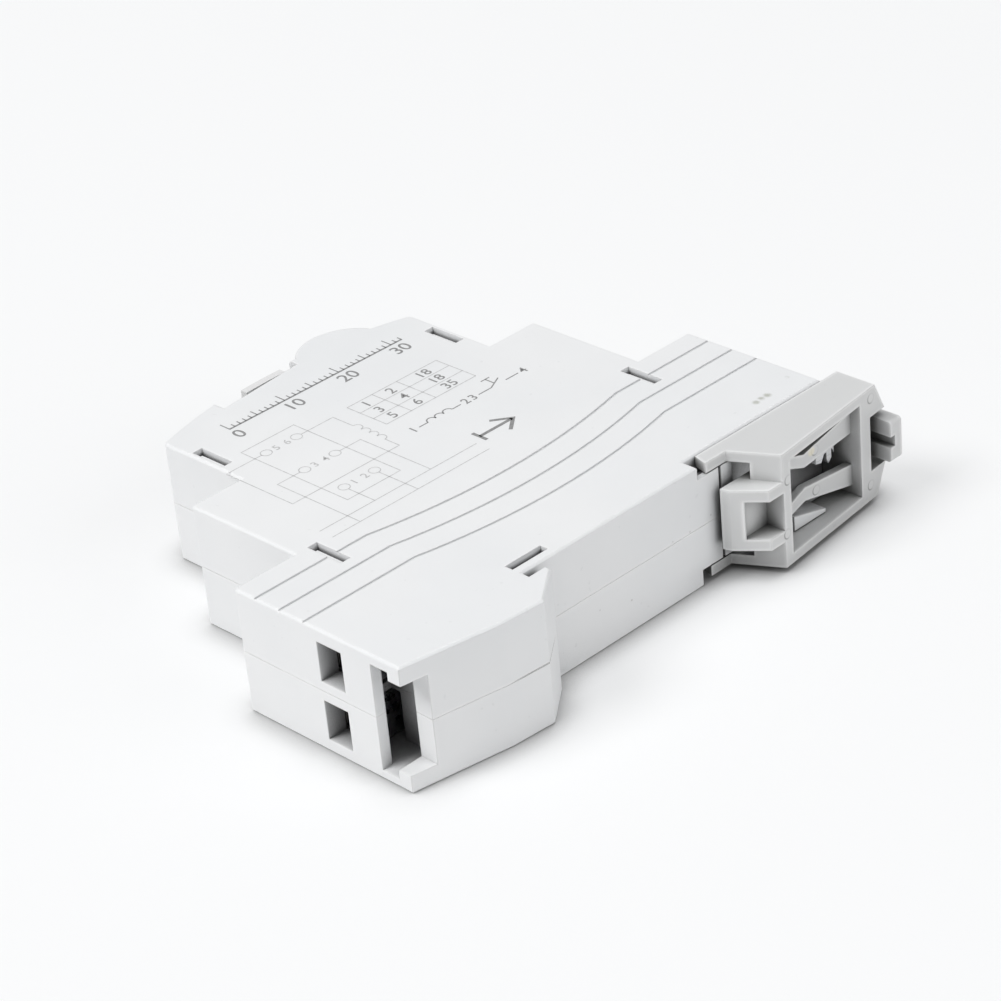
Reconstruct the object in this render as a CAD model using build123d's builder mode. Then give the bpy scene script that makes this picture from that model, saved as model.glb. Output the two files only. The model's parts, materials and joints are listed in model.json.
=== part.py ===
"""One-module energy monitor for a 35 mm mounting rail, lying on its side.

Every outline is drawn in rail coordinates and then placed in the part's frame:
u runs along the housing's height, zero at the rail's middle, growing towards the clip;
v is the depth, zero on the rail seat, growing towards the front of the unit;
w runs across the module's width, zero on the side that the unit lies on.
The part's X, Y and Z run along u, v and w. All sizes are in millimetres.
"""

import os
from math import sqrt

from build123d import *

os.makedirs("parts", exist_ok=True)

# Outside of the housing
module_width = 18.0
housing_height = 83.8
shoulder_span = 63.4
nose_span = 46.0
shoulder_depth = 26.1
step_depth = 46.1
nose_edge_depth = 62.1
nose_rise = 3.9
nose_corner_radius = 1.2
step_corner_radius = 0.6
side_edge_chamfer = 0.3

# Walls of the two half shells
side_skin = 1.4
wall = 1.6
cavity_floor_depth = 4.1
front_cavity_depth = 60.4
overrun = 1.0
play = 0.2

# Rail, rail seat and fixed foot
rail_width = 35.0
rail_gap = 1.15
rail_slack = 0.1
seat_end = 14.4
foot_tip = 14.8
foot_lip_depth = 2.2
foot_depth = 6.6
foot_heel = 20.6
foot_bend = 27.2
foot_bend_depth = 6.1
foot_end_depth = 3.4

# Recess in the fixed foot's corner
recess_front = 1.65
recess_step = 1.3
recess_back_wall = 2.6
recess_back_length = 3.8
recess_reach = 6.2
recess_opening = 5.65

# Guide grooves engraved in both side faces
groove_pitch = 4.4
first_groove_depth = 13.3
groove_count = 3
groove_sag = 2.7
groove_width = 0.35
groove_cut = 0.2

# Snap tongues of the lower shell and their slots in the upper one
snap_slot_length = 6.2
snap_slot_width = 1.6
snap_drop = 0.8
snap_bevel = 0.25
snap_inset = 0.7
nose_snap_drop = 8.5
shoulder_snap_drop = 3.3
shoulder_snap_inset = 2.1
seat_snap_depth = 2.0
seat_snap_width = 1.3

# Terminals: wire windows, screw towers, cages, screws and contact bars
terminal_shift = 0.5
screw_inset = 5.4
window_margin = 0.65
window_height = 4.3
sleeve_reach = 1.35
sleeve_skin = 0.5
access_radius = 2.2
access_depth = 6.7
tower_ledge = 1.0
tower_wall = 1.3
cage_travel = 3.5
cage_stop_gap = 0.55
cage_length = 4.6
cage_side_gap = 0.3
cage_skin = 0.7
cage_floor = 1.0
cage_plate = 2.0
bar_thickness = 1.0
bar_side_gap = 0.3
bar_reach = 2.2
bar_tail = 3.6
bar_foot = 2.0
bar_play = 0.1
screw_radius = 1.5
thread_play = 0.05
screw_shank = 7.0
screw_head_radius = 2.0
screw_head = 1.8
screw_slot_width = 0.6
screw_slot_depth = 0.9
barrier_thickness = 1.2

# Moving rail clip
clip_low_gap = 0.85
clip_high_gap = 0.2
clip_wall = 1.5
clip_gap = 0.15
clip_recess = 2.45
clip_end = 45.2
clip_end_depth = 4.15
clip_ramp = 19.95
clip_ramp_foot = 23.4
clip_finger = 16.6
clip_finger_rake = 0.6
clip_close = 1.4
clip_sill = 2.75
clip_bar = 25.1
clip_frame_end = 41.5
clip_end_bar = 2.4
clip_rib = 0.6
clip_rib_height = 1.0
clip_rib_depth = 1.4
clip_rib_start = 27.0
hook_tip = 17.2
hook_lip = 17.5
hook_lip_depth = 2.5
hook_heel = 20.6
hook_width = 9.0
hook_pocket_width = 5.6
hook_pocket_start = 18.7
hook_pocket_floor = 3.5
tongue_end = 21.3
tongue_radius = 0.4
tongue_groove = 18.4
tongue_groove_width = 0.5
tongue_groove_cut = 0.6
guide_start = 25.2
guide_width = 1.3

# Spring arms inside the clip's frame, and the housing's wedges and teeth beside them
arm_face = 2.9
arm_thickness = 1.1
arm_root_inner_share = 0.344
arm_root_outer_share = 0.803
arm_waist = 31.8
arm_waist_inner_share = 0.215
arm_waist_outer_share = 0.502
arm_tip = 28.9
arm_tip_inner_share = 0.373
arm_tip_outer_share = 0.631
wedge_start = 29.1
wedge_tip = 35.5
wedge_depth = 3.2
wedge_width_share = 0.301
wedge_blunt = 0.5
comb_face = 1.2
comb_height = 3.0
comb_points = (
    ((36.2, -0.3), (37.3, -0.55), (37.9, 0.6))
    + ((38.4, 0.6), (38.4, -0.4), (38.7, -1.2), (39.4, -0.6), (39.4, 0.7))
    + ((39.6, 0.7), (39.9, -0.1))
)

# Catch for a screwdriver at the clip's end
cheek_reach = 47.4
slot_width = 8.2
slot_floor = 1.0
catch_start = 45.8
catch_thickness = 2.3
catch_width = 6.1
catch_depth = 6.2
catch_groove_width = 1.6
catch_groove_cut = 0.9
catch_corner_radius = 0.5

# Hinged clear cover, the ears that carry it and the finger notch
ear_start = 4.3
ear_end = 16.6
ear_rise = 2.2
ear_base = 63.0
hinge_u = 10.6
hinge_v = 65.4
hinge_pin_radius = 0.8
hinge_pin_reach = 0.8
running_play = 0.05
knuckle_radius = 1.4
cover_thickness = 1.2
cover_side_gap = 0.3
mouth_start = -11.6
mouth_end = 14.6
notch_end = 3.2
notch_low = 62.7
notch_high = 64.2
lug_start = -6.0
lug_end = 1.4
lug_inset = 0.6

# Fascia, display and the board behind the nose
fascia_depth = 61.6
fascia_thickness = 1.2
fascia_ledge = 0.8
window_start = -8.6
window_end = 4.6
window_side = 3.6
display_rim = 0.9
display_board_depth = 56.9
display_board_thickness = 1.0
display_board_inset = 1.9
board_slot = 1.0

# Pairing button, its switch, the status lamp and its light pipe
button_u = -17.3
button_radius = 1.9
button_bore_play = 0.15
button_proud = 0.6
button_flange_radius = 2.6
button_flange = 0.6
button_crown_radius = 0.4
button_stem_radius = 1.0
plunger_radius = 0.9
plunger_sunk = 0.6
plunger_proud = 0.5
plunger_bore = 1.0
switch_size = 4.4
switch_height = 1.2
lamp_u = 19.2
lamp_length = 2.0
lamp_width = 1.6
lamp_height = 0.8
light_pipe_radius = 1.2
light_pipe_proud = 0.2
light_pipe_flange_radius = 1.6

# Main board, the posts that hold it and the pins through it
board_thickness = 1.6
board_play = 0.4
board_top = 55.4
post_radius = 1.8
post_pin_radius = 0.8
post_pin_play = 0.1
post_pin_reach = 0.8
post_spot_shares = ((-0.91, 0.05), (0.91, 0.05), (-0.72, 0.62), (0.59, 0.62))

# Parts soldered to the main board
header_spot_share = 0.36
header_pins = 6
header_pitch = 2.0
header_pin = 0.5
header_pin_height = 1.2
header_pin_hole = 0.45
header_pin_tail = 0.4
header_depth = 2.4
header_height = 2.5
header_drop = 0.4
radio_spot_share = (0.0, 0.70)
radio_width = 16.0
radio_length = 24.0
radio_thickness = 0.8
shield_width = 12.4
shield_length = 15.0
shield_height = 2.3
shield_margin = 1.2
shield_radius = 0.4
lead_reach = 1.0
lead_width = 0.4
lead_height = 0.4
chip_stand = 0.1
metering_spot_share = (0.43, 0.62)
metering_chip_size = (3.9, 9.9, 1.5)
metering_lead_count = 8
metering_lead_pitch = 1.2
power_spot_share = (-0.51, 0.40)
power_chip_size = (3.9, 4.9, 1.5)
power_lead_count = 4
power_lead_pitch = 1.27
rectifier_spot_share = (0.62, 0.155)
rectifier_size = (4.7, 6.4, 2.4)
rectifier_lead_count = 2
rectifier_lead_pitch = 3.8
capacitor_spot_shares = ((-0.615, 0.10), (-0.253, 0.10))
capacitor_slack = 0.5
capacitor_length = 10.4
capacitor_groove = 0.3
capacitor_groove_width = 0.8
capacitor_groove_place = 1.6
core_spot_share = (0.23, 0.14)
core_length = 9.6
core_breadth = 6.0
core_slack = 0.6
core_leg = 1.6
core_post_radius = 1.4
winding_radius = 2.9
winding_play = 0.1
safety_spot_share = (-0.57, 0.147)
safety_length = 13.0
safety_breadth = 11.0
safety_slack = 1.2
safety_radius = 0.6
varistor_spot_share = (-0.06, 0.16)
varistor_radius = 4.5
varistor_slack = 3.2
varistor_edge = 1.0
fuse_spot_share = (0.39, 0.36)
fuse_length = 9.0
fuse_radius = 1.7
fuse_neck_radius = 1.3
fuse_cap = 1.5

# Sizes worked out from the ones above
half_height = housing_height / 2
half_shoulder = shoulder_span / 2
half_nose = nose_span / 2
seam = module_width / 2
nose_top_depth = nose_edge_depth + nose_rise
nose_radius = (half_nose**2 + nose_rise**2) / (2 * nose_rise)
ear_top = nose_top_depth + ear_rise
rail_edge = rail_width / 2 + rail_slack
board_low_face = seam - board_thickness / 2
board_high_face = seam + board_thickness / 2
board_bottom = cavity_floor_depth + board_play
side_room = seam - side_skin - board_thickness / 2
capacitor_radius = (side_room - capacitor_slack) / 2
core_height = side_room - core_slack
safety_height = side_room - safety_slack
varistor_thickness = side_room - varistor_slack
recess_width = module_width - 2 * side_skin
recess_back_width = module_width - 2 * recess_back_wall
chamber_width = seam - side_skin - barrier_thickness / 2
terminal_pitch = seam - terminal_shift
window_width = chamber_width - 2 * window_margin
cage_inner_width = chamber_width - 2 * (cage_skin + cage_side_gap)
bar_width = cage_inner_width - 2 * bar_side_gap
tower_inset = screw_inset + access_radius + tower_wall
board_half_span = half_height - tower_inset - board_play
clip_low = clip_low_gap
clip_high = module_width - clip_high_gap
clip_width = clip_high - clip_low
clip_middle = (clip_low + clip_high) / 2
clip_half_room = clip_width / 2 - clip_wall
arm_root_inner = arm_root_inner_share * clip_half_room
arm_root_outer = arm_root_outer_share * clip_half_room
arm_waist_inner = arm_waist_inner_share * clip_half_room
arm_waist_outer = arm_waist_outer_share * clip_half_room
arm_tip_inner = arm_tip_inner_share * clip_half_room
arm_tip_outer = arm_tip_outer_share * clip_half_room
wedge_width = wedge_width_share * clip_half_room
clip_side = clip_recess - clip_gap
clip_slope = (foot_depth - clip_end_depth) / (clip_end - clip_ramp_foot)
guide_end = clip_frame_end - clip_close - play
catch_end = catch_start + catch_thickness
display_board_front = display_board_depth + display_board_thickness
switch_top = display_board_front + switch_height
flange_depth = front_cavity_depth - button_flange

# The rail seat's middle in the part's frame, which has its origin at the middle of the base
rail_x = (half_height - catch_end) / 2
rail_y = (foot_depth - ear_top) / 2


def across(w):
    """Plane of the side view at width w: its x runs along u and its y along v."""
    return Plane(origin=(rail_x, rail_y, w), x_dir=(1, 0, 0), z_dir=(0, 0, 1))


def facing_end(u):
    """Plane across the housing's height at u: its x runs along v and its y along w."""
    return Plane(origin=(rail_x + u, rail_y, 0), x_dir=(0, 1, 0), z_dir=(1, 0, 0))


def facing_back(v):
    """Plane at depth v that faces the rail: its x runs along u and its y along w."""
    return Plane(origin=(rail_x, rail_y + v, 0), x_dir=(1, 0, 0), z_dir=(0, -1, 0))


def patch(x_low, x_high, y_low, y_high, mode=Mode.ADD):
    """Rectangle in the open sketch, given by its four edges."""
    with Locations(((x_low + x_high) / 2, (y_low + y_high) / 2)):
        Rectangle(x_high - x_low, y_high - y_low, mode=mode)


def nose_arc(u):
    """Depth of the nose's curved front at height u."""
    return nose_top_depth - nose_radius + sqrt(nose_radius**2 - u**2)


def clip_back(u):
    """Depth of the clip's sloping back face at height u."""
    return -foot_depth + clip_slope * (u - clip_ramp_foot)


def board_spot(share):
    """Place on the main board, as shares of its half width and of its depth."""
    u_share, v_share = share
    return u_share * board_half_span, board_bottom + v_share * (board_top - board_bottom)


def keep(part, name):
    """Labels a finished piece and writes it as its own STEP file."""
    part.label = name
    export_step(part, f"parts/{name}.step")


def terminals():
    """Each terminal's name, screw height, tower front, middle width and the end it faces."""
    low, high = seam - terminal_pitch / 2, seam + terminal_pitch / 2
    lower, upper = half_height - screw_inset, half_shoulder - screw_inset
    return [
        ("line", -lower, shoulder_depth, low, -1),
        ("neutral", -lower, shoulder_depth, high, -1),
        ("switch_in", lower, shoulder_depth, low, 1),
        ("switch_out", lower, shoulder_depth, high, 1),
        ("sensor_a", upper, step_depth, low, 1),
        ("sensor_b", upper, step_depth, high, 1),
    ]


def ledge_depth(tower_front):
    """Depth of the ledge that a terminal screw's head rests on."""
    return tower_front - access_depth


def bar_depth(tower_front):
    """Depth of a contact bar's face towards the wire."""
    plate_front = ledge_depth(tower_front) - tower_ledge - cage_stop_gap - cage_travel
    return plate_front - cage_plate - bar_play - bar_thickness


def window_depth(tower_front):
    """Depth of a wire window's edge nearest the rail."""
    return bar_depth(tower_front) - bar_play - window_height


def snap_slots():
    """Each snap slot's middle and its length and width along u and v."""
    nose_u = half_nose - snap_inset - snap_slot_width / 2
    side_u = half_shoulder - shoulder_snap_inset - snap_slot_width / 2
    high_v, low_v = nose_edge_depth - nose_snap_drop, shoulder_depth - shoulder_snap_drop
    places = [(side * nose_u, high_v, snap_slot_width, snap_slot_length) for side in (-1, 1)]
    places += [(side * side_u, low_v, snap_slot_width, snap_slot_length) for side in (-1, 1)]
    places.append((-foot_tip, seat_snap_depth, snap_slot_length, seat_snap_width))
    return places


# Side view of the housing, with the fixed foot, the rail seat and the stepped front
with BuildSketch() as housing_outline:
    with BuildLine():
        Polyline(
            (-half_nose, nose_edge_depth),
            (-half_nose, step_depth),
            (-half_shoulder, step_depth),
            (-half_shoulder, shoulder_depth),
            (-half_height, shoulder_depth),
            (-half_height, -foot_end_depth),
            (-foot_bend, -foot_bend_depth),
            (-foot_heel, -foot_depth),
            (-foot_tip, -foot_lip_depth),
            (-foot_tip, -rail_gap),
            (-rail_edge, -rail_gap),
            (-rail_edge, 0),
            (seat_end, 0),
            (seat_end, clip_recess),
            (half_height, clip_recess),
            (half_height, shoulder_depth),
            (half_shoulder, shoulder_depth),
            (half_shoulder, step_depth),
            (half_nose, step_depth),
            (half_nose, nose_edge_depth),
        )
        ThreePointArc(
            (half_nose, nose_edge_depth), (0, nose_top_depth), (-half_nose, nose_edge_depth)
        )
    make_face()
    for half_span, depth, radius in (
        (half_nose, nose_edge_depth, nose_corner_radius),
        (half_shoulder, step_depth, step_corner_radius),
        (half_height, shoulder_depth, step_corner_radius),
    ):
        corners = [
            corner
            for corner in housing_outline.vertices()
            if abs(abs(corner.X) - half_span) < play and abs(corner.Y - depth) < play
        ]
        fillet(corners, radius)

# Hollow between the shells, with the terminal chambers under their screw towers
with BuildSketch() as cavity_outline:
    lower_roof = ledge_depth(shoulder_depth) - tower_ledge
    upper_roof = ledge_depth(step_depth) - tower_ledge
    lower_tower, upper_tower = half_height - tower_inset, half_shoulder - tower_inset
    patch(wall - half_height, half_height - wall, cavity_floor_depth, lower_roof)
    patch(-lower_tower, lower_tower, lower_roof, shoulder_depth - wall)
    patch(wall - half_shoulder, half_shoulder - wall, shoulder_depth - wall, upper_roof)
    patch(wall - half_shoulder, upper_tower, upper_roof, step_depth - wall)
    patch(wall - half_nose, half_nose - wall, step_depth - wall, front_cavity_depth)

# Guide grooves: straight at both ends, bowed towards the rail between them
with BuildSketch() as groove_outline:
    for groove in range(groove_count):
        near = first_groove_depth + groove * groove_pitch - groove_width / 2
        far = near + groove_width
        reach = half_height + overrun
        with BuildLine():
            Line((-reach, far), (-half_nose, far))
            ThreePointArc((-half_nose, far), (0, far - groove_sag), (half_nose, far))
            Polyline((half_nose, far), (reach, far), (reach, near), (half_nose, near))
            ThreePointArc((half_nose, near), (0, near - groove_sag), (-half_nose, near))
            Polyline((-half_nose, near), (-reach, near), (-reach, far))
        make_face()

# Ear of the cover's hinge, as a hump on the nose
with BuildSketch() as ear_outline:
    with BuildLine():
        Polyline(
            (ear_end, nose_arc(ear_end)),
            (ear_end, ear_base),
            (ear_start, ear_base),
            (ear_start, nose_arc(ear_start)),
        )
        ThreePointArc(
            (ear_start, nose_arc(ear_start)),
            ((ear_start + ear_end) / 2, ear_top),
            (ear_end, nose_arc(ear_end)),
        )
    make_face()

# Finger notch beside the cover's free end
with BuildSketch() as notch_outline:
    with BuildLine():
        Polyline(
            (mouth_start, notch_low),
            (notch_end, notch_high),
            (notch_end, ear_top),
            (mouth_start, ear_top),
            close=True,
        )
    make_face()


def half_shell(outer_face, inward):
    """Half of the housing, hollowed, with windows, towers, seats and guides.

    outer_face is the width of its side face, and inward is 1 where w grows from there, or -1.
    """
    inner_face = outer_face + inward * side_skin
    guide_edge = (clip_low_gap if inward > 0 else clip_high_gap) + clip_wall + play
    guide_face = outer_face + inward * guide_edge
    low, high = sorted((outer_face, seam))
    with BuildPart() as shell:
        with BuildSketch(across(outer_face)):
            add(housing_outline.sketch)
        extrude(amount=inward * seam)
        side_faces = shell.faces().filter_by(Axis.Z).sort_by(Axis.Z)
        chamfer(side_faces[0 if inward > 0 else -1].edges(), side_edge_chamfer)
        with BuildSketch(across(outer_face)):
            add(ear_outline.sketch)
        extrude(amount=inward * wall)

        # Tongue under the rail seat, and the guide rail that the clip slides on
        with BuildSketch(across(guide_face)) as tongue:
            patch(seat_end - overrun, tongue_end, 0, cavity_floor_depth)
            fillet(tongue.vertices().group_by(Axis.X)[-1].sort_by(Axis.Y)[0], tongue_radius)
        extrude(amount=inward * (seam - guide_edge))
        with BuildSketch(across(guide_face)):
            patch(guide_start, guide_end, 0, cavity_floor_depth)
        extrude(amount=inward * guide_width)
        with BuildSketch(across(guide_face)):
            patch(tongue_groove, tongue_groove + tongue_groove_width, -overrun, tongue_groove_cut)
        extrude(amount=inward * (seam - guide_edge), mode=Mode.SUBTRACT)

        # Wedge beside the clip's spring arm
        with BuildSketch(facing_back(-wedge_depth)):
            with BuildLine():
                Polyline(
                    (wedge_start, guide_face),
                    (wedge_start, guide_face + inward * wedge_width),
                    (wedge_tip, guide_face + inward * wedge_blunt),
                    (wedge_tip, guide_face),
                    close=True,
                )
            make_face()
        extrude(amount=-(wedge_depth + cavity_floor_depth))

        # Groove for the rib inside the clip's side wall
        with BuildSketch(across(guide_face)):
            half_groove = clip_rib_height / 2 + clip_gap
            patch(seat_end, guide_end + overrun, clip_rib_depth - half_groove, clip_rib_depth + half_groove)
        extrude(amount=inward * clip_rib, mode=Mode.SUBTRACT)

        # Hollow for the boards, and slots in its end walls for the display board
        with BuildSketch(across(inner_face)):
            add(cavity_outline.sketch)
            slot_reach = half_nose - wall + board_slot
            patch(
                -slot_reach,
                slot_reach,
                display_board_depth - running_play,
                display_board_front + running_play,
            )
        extrude(amount=inward * (seam - side_skin), mode=Mode.SUBTRACT)

        # Mouth of the nose, in which the fascia and the cover lie
        with BuildSketch(across(outer_face + inward * wall)):
            patch(mouth_start, mouth_end, fascia_depth, ear_top + overrun)
            patch(
                mouth_start + fascia_ledge,
                mouth_end - fascia_ledge,
                front_cavity_depth,
                fascia_depth,
            )
        extrude(amount=inward * (seam - wall), mode=Mode.SUBTRACT)
        with BuildSketch(across(outer_face)):
            add(notch_outline.sketch)
        extrude(amount=inward * wall, mode=Mode.SUBTRACT)

        # Engraved guide grooves
        with BuildSketch(across(outer_face)):
            add(groove_outline.sketch)
        extrude(amount=inward * groove_cut, mode=Mode.SUBTRACT)

        # Recess in the fixed foot's corner
        with BuildSketch(across(seam)):
            patch(-half_height - overrun, recess_reach - half_height, -recess_step, recess_front)
        extrude(amount=-inward * recess_width / 2, mode=Mode.SUBTRACT)
        with BuildSketch(across(seam)):
            patch(
                -half_height - overrun,
                recess_back_length - half_height,
                -foot_depth - overrun,
                -recess_step,
            )
        extrude(amount=-inward * recess_back_width / 2, mode=Mode.SUBTRACT)

        # Wire windows in their sleeves, screw access bores and the holes in the ledges under them
        for _, u, tower_front, width, end in terminals():
            if low < width < high:
                base = window_depth(tower_front)
                half_window = window_width / 2
                half_sleeve = half_window + sleeve_skin
                sleeve_top = base + window_height + sleeve_skin
                with BuildSketch(facing_end(u + end * (screw_inset - wall / 2))):
                    patch(base - sleeve_skin, sleeve_top, width - half_sleeve, width + half_sleeve)
                extrude(amount=-end * (wall / 2 + sleeve_reach))
                with BuildSketch(facing_end(u)):
                    patch(base, base + window_height, width - half_window, width + half_window)
                extrude(amount=end * (screw_inset + overrun), mode=Mode.SUBTRACT)
                ledge = ledge_depth(tower_front)
                with BuildSketch(facing_back(ledge)):
                    with Locations((u, width)):
                        Circle(access_radius)
                extrude(amount=-(access_depth + overrun), mode=Mode.SUBTRACT)
                with BuildSketch(facing_back(ledge - tower_ledge)):
                    with Locations((u, width)):
                        Circle(screw_radius + thread_play)
                extrude(amount=-tower_ledge, mode=Mode.SUBTRACT)

        # Barriers between the two chambers at each end
        with BuildSketch(across(seam)):
            for near_end, far_end in (
                (-half_height + wall / 2, -lower_tower),
                (lower_tower, half_height - wall / 2),
            ):
                patch(near_end, far_end, cavity_floor_depth - wall / 2, lower_roof + wall / 2)
        extrude(amount=-inward * barrier_thickness / 2)

        # Opening from the foot's recess into the chambers behind it
        with BuildSketch(across(seam)):
            patch(
                wall - half_height,
                recess_reach - half_height,
                recess_front - overrun,
                recess_opening,
            )
        extrude(amount=-inward * recess_width / 2, mode=Mode.SUBTRACT)

        # Posts that hold the main board
        with BuildSketch(across(inner_face)):
            with Locations(*[board_spot(share) for share in post_spot_shares]):
                Circle(post_radius)
        extrude(amount=inward * (seam - side_skin - board_thickness / 2))

        # Blind bore for the cover's hinge pin
        with BuildSketch(across(outer_face + inward * wall)):
            with Locations((hinge_u, hinge_v)):
                Circle(hinge_pin_radius + running_play)
        extrude(amount=-inward * (hinge_pin_reach + running_play), mode=Mode.SUBTRACT)

        # Half bores for the button and the light pipe, which stand on the seam
        with BuildSketch(facing_back(front_cavity_depth)):
            with Locations((button_u, seam)):
                Circle(button_radius + button_bore_play)
            with Locations((lamp_u, seam)):
                Circle(light_pipe_radius + running_play)
        extrude(amount=-(nose_top_depth - front_cavity_depth), mode=Mode.SUBTRACT)
    return shell.part


lower_half = half_shell(0, 1)
upper_half = half_shell(module_width, -1)

with BuildPart() as lower_shell:
    add(lower_half)
    for u, v, length, breadth in snap_slots():
        with BuildSketch(across(side_skin / 2)):
            with Locations((u, v)):
                Rectangle(length - 2 * play, breadth - 2 * play)
        extrude(amount=module_width - snap_drop - side_skin / 2)
    tips = lower_shell.faces().filter_by(Axis.Z).group_by(Axis.Z)[-1]
    chamfer(tips.edges(), snap_bevel)
    with BuildSketch(across(board_low_face)):
        with Locations(*[board_spot(share) for share in post_spot_shares]):
            Circle(post_pin_radius)
    extrude(amount=board_thickness + post_pin_reach)
keep(lower_shell.part, "lower_shell")

with BuildPart() as upper_shell:
    add(upper_half)
    for u, v, length, breadth in snap_slots():
        with BuildSketch(across(seam)):
            with Locations((u, v)):
                Rectangle(length, breadth)
        extrude(amount=seam + overrun, mode=Mode.SUBTRACT)
    with BuildSketch(across(board_high_face)):
        with Locations(*[board_spot(share) for share in post_spot_shares]):
            Circle(post_pin_radius + post_pin_play)
    extrude(amount=post_pin_reach + post_pin_play, mode=Mode.SUBTRACT)
    # Comb of small teeth behind the clip's spring arms
    comb_start, comb_end = comb_points[0][0], comb_points[-1][0]
    with BuildSketch(facing_back(-comb_face)):
        with BuildLine():
            Polyline(
                (comb_start, seam + comb_height),
                *[(u, seam + offset_w) for u, offset_w in comb_points],
                (comb_end, seam + comb_height),
                close=True,
            )
        make_face()
    extrude(amount=-(comb_face + clip_side))
    with BuildSketch(facing_back(clip_side)):
        patch(comb_start, comb_end, seam + play, seam + comb_height)
    extrude(amount=clip_side - cavity_floor_depth + wall / 2)
keep(upper_shell.part, "upper_shell")

with BuildPart() as din_clip:
    # Side walls, each with a finger that reaches into the housing and a rib that guides it
    for outer, inward in ((clip_low, 1), (clip_high, -1)):
        with BuildSketch(across(outer)):
            with BuildLine():
                Polyline(
                    (clip_finger, clip_side),
                    (clip_end, clip_side),
                    (clip_end, -clip_end_depth),
                    (clip_ramp_foot, -foot_depth),
                    (clip_ramp, 0),
                    (clip_finger - clip_finger_rake, 0),
                    close=True,
                )
            make_face()
        extrude(amount=inward * clip_wall)
        half_rib = clip_rib_height / 2
        with BuildSketch(across(outer + inward * clip_wall)):
            patch(clip_rib_start, clip_frame_end, clip_rib_depth - half_rib, clip_rib_depth + half_rib)
        extrude(amount=inward * clip_rib)
    # Ramp across the clip's front, below its two windows
    ramp_rake = (clip_ramp_foot - clip_ramp) / foot_depth
    with BuildSketch(across(clip_low)):
        with BuildLine():
            Polyline(
                (clip_ramp + ramp_rake * clip_sill, -clip_sill),
                (clip_ramp_foot, -foot_depth),
                (clip_bar, clip_back(clip_bar)),
                (clip_bar, -clip_sill),
                close=True,
            )
        make_face()
    extrude(amount=clip_width)
    # Hook that goes under the rail's edge, with a pocket in its sloping front
    with BuildSketch(across(clip_middle)):
        with BuildLine():
            Polyline(
                (hook_tip, -rail_gap),
                (hook_lip, -hook_lip_depth),
                (hook_heel, -foot_depth),
                (clip_ramp_foot, -foot_depth),
                (clip_bar, clip_back(clip_bar)),
                (clip_bar, -rail_gap),
                close=True,
            )
        make_face()
    extrude(amount=hook_width / 2, both=True)
    with BuildSketch(across(clip_middle)):
        patch(hook_pocket_start, clip_ramp_foot, -foot_depth - overrun, -hook_pocket_floor)
    extrude(amount=hook_pocket_width / 2, both=True, mode=Mode.SUBTRACT)
    # End bar and cheeks, with the slot for a screwdriver between them
    with BuildSketch(across(clip_low)):
        with BuildLine():
            Polyline(
                (clip_frame_end, clip_side),
                (clip_frame_end, clip_back(clip_frame_end)),
                (cheek_reach, clip_back(cheek_reach)),
                (cheek_reach, clip_side),
                close=True,
            )
        make_face()
    extrude(amount=clip_width)
    cheek_width = (clip_width - slot_width) / 2
    with BuildSketch(facing_back(-slot_floor)):
        patch(
            clip_frame_end + clip_end_bar,
            cheek_reach + overrun,
            clip_low + cheek_width,
            clip_high - cheek_width,
        )
    extrude(amount=foot_depth, mode=Mode.SUBTRACT)
    with BuildSketch(facing_back(clip_side)):
        for edge, inward in ((clip_low, 1), (clip_high, -1)):
            with BuildLine():
                Polyline(
                    (clip_end, edge - inward * overrun),
                    (clip_end, edge),
                    (cheek_reach, edge + inward * cheek_width),
                    (cheek_reach + overrun, edge + inward * cheek_width),
                    (cheek_reach + overrun, edge - inward * overrun),
                    close=True,
                )
            make_face()
    extrude(amount=clip_side + foot_depth, mode=Mode.SUBTRACT)
    # Catch that a screwdriver's blade pulls on, with a groove for the blade's edge
    with BuildSketch(facing_end(catch_start)) as catch_outline:
        half_catch = catch_width / 2
        patch(-catch_depth, clip_side, clip_middle - half_catch, clip_middle + half_catch)
        fillet(catch_outline.vertices().group_by(Axis.X)[0], catch_corner_radius)
    extrude(amount=catch_thickness)
    with BuildSketch(facing_end(catch_start)):
        half_groove = catch_groove_width / 2
        patch(
            -catch_depth - overrun,
            -slot_floor,
            clip_middle - half_groove,
            clip_middle + half_groove,
        )
    extrude(amount=catch_groove_cut, mode=Mode.SUBTRACT)
    # Spring arms, which lean together and then turn out to their free tips
    with BuildSketch(facing_back(-arm_face)):
        for side in (-1, 1):
            with BuildLine():
                Polyline(
                    (clip_frame_end + overrun, clip_middle + side * arm_root_inner),
                    (clip_frame_end, clip_middle + side * arm_root_inner),
                    (arm_waist, clip_middle + side * arm_waist_inner),
                    (arm_tip, clip_middle + side * arm_tip_inner),
                    (arm_tip, clip_middle + side * arm_tip_outer),
                    (arm_waist, clip_middle + side * arm_waist_outer),
                    (clip_frame_end, clip_middle + side * arm_root_outer),
                    (clip_frame_end + overrun, clip_middle + side * arm_root_outer),
                    close=True,
                )
            make_face()
    extrude(amount=-arm_thickness)
keep(din_clip.part, "din_clip")

# Plate of the cover, which follows the nose's curve from its free end to the hinge
cover_end = mouth_start + cover_side_gap


def nose_band(start, end):
    """Closed outline under the nose's curve, one cover thickness deep."""
    middle = (start + end) / 2
    points = [(u, nose_arc(u)) for u in (start, middle, end)]
    under = [(u, v - cover_thickness) for u, v in reversed(points)]
    with BuildLine() as band:
        ThreePointArc(*points)
        Line(points[-1], under[0])
        ThreePointArc(*under)
        Line(under[-1], points[0])
    return band.line


cover_line = nose_band(cover_end, hinge_u)
lug_line = nose_band(lug_start, lug_end)
cover_low = wall + cover_side_gap

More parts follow.
